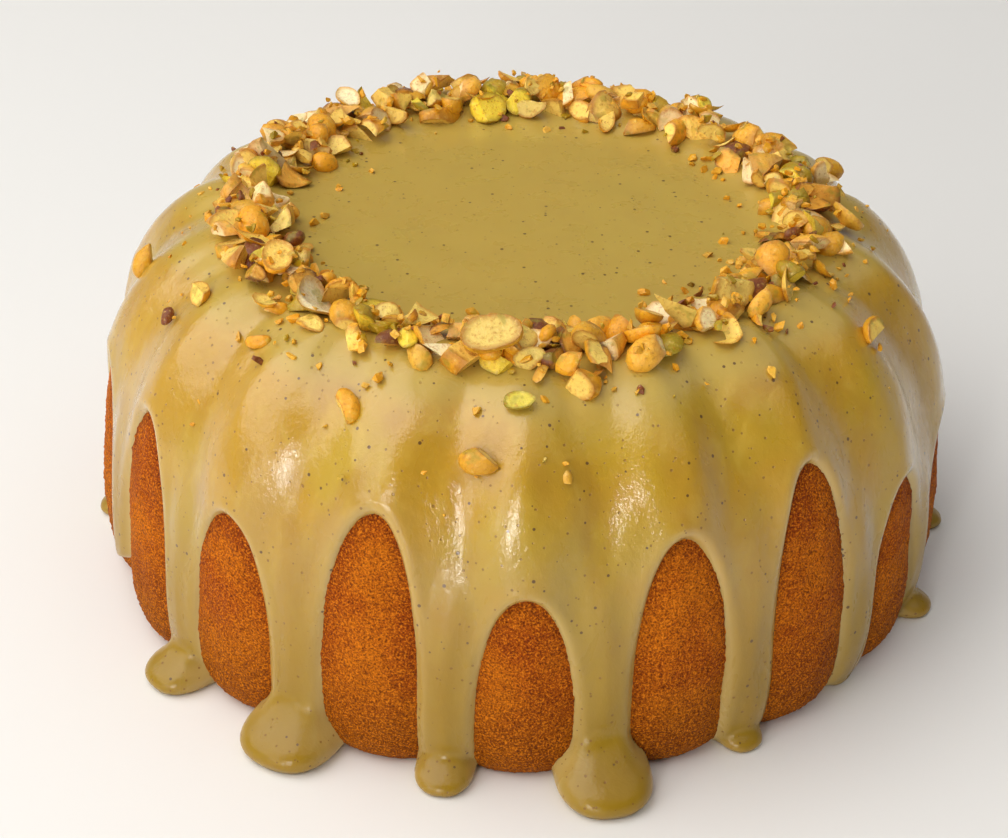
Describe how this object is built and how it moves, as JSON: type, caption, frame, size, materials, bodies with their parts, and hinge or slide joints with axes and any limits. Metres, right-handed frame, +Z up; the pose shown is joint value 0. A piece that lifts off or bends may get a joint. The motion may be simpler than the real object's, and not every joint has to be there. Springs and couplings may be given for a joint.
{
  "type": "pistachio cake",
  "caption": "Uncut fluted round sponge cake, poured over with glossy pistachio cream that runs down in drips to small puddles, with a ring of chopped toasted pistachios on its rim.",
  "frame": {"origin": "middle of the cake's flat base, on the surface that it rests on", "axes": "+Z up, out of the pool of cream on top. The side seen in the picture faces -Y. The crest of one lobe lies on -Y"},
  "size_m": [0.2497, 0.2598, 0.1087],
  "materials": {
    "golden_crust": "matt baked crust with a fine open crumb",
    "pistachio_cream": "glossy set cream",
    "toasted_pistachio": "matt to satin chopped nut"
  },
  "bodies": {
    "root": {"sponge": "golden_crust", "pistachio_cream": "pistachio_cream", "nut_ring": "toasted_pistachio"}
  },
  "joints": []
}
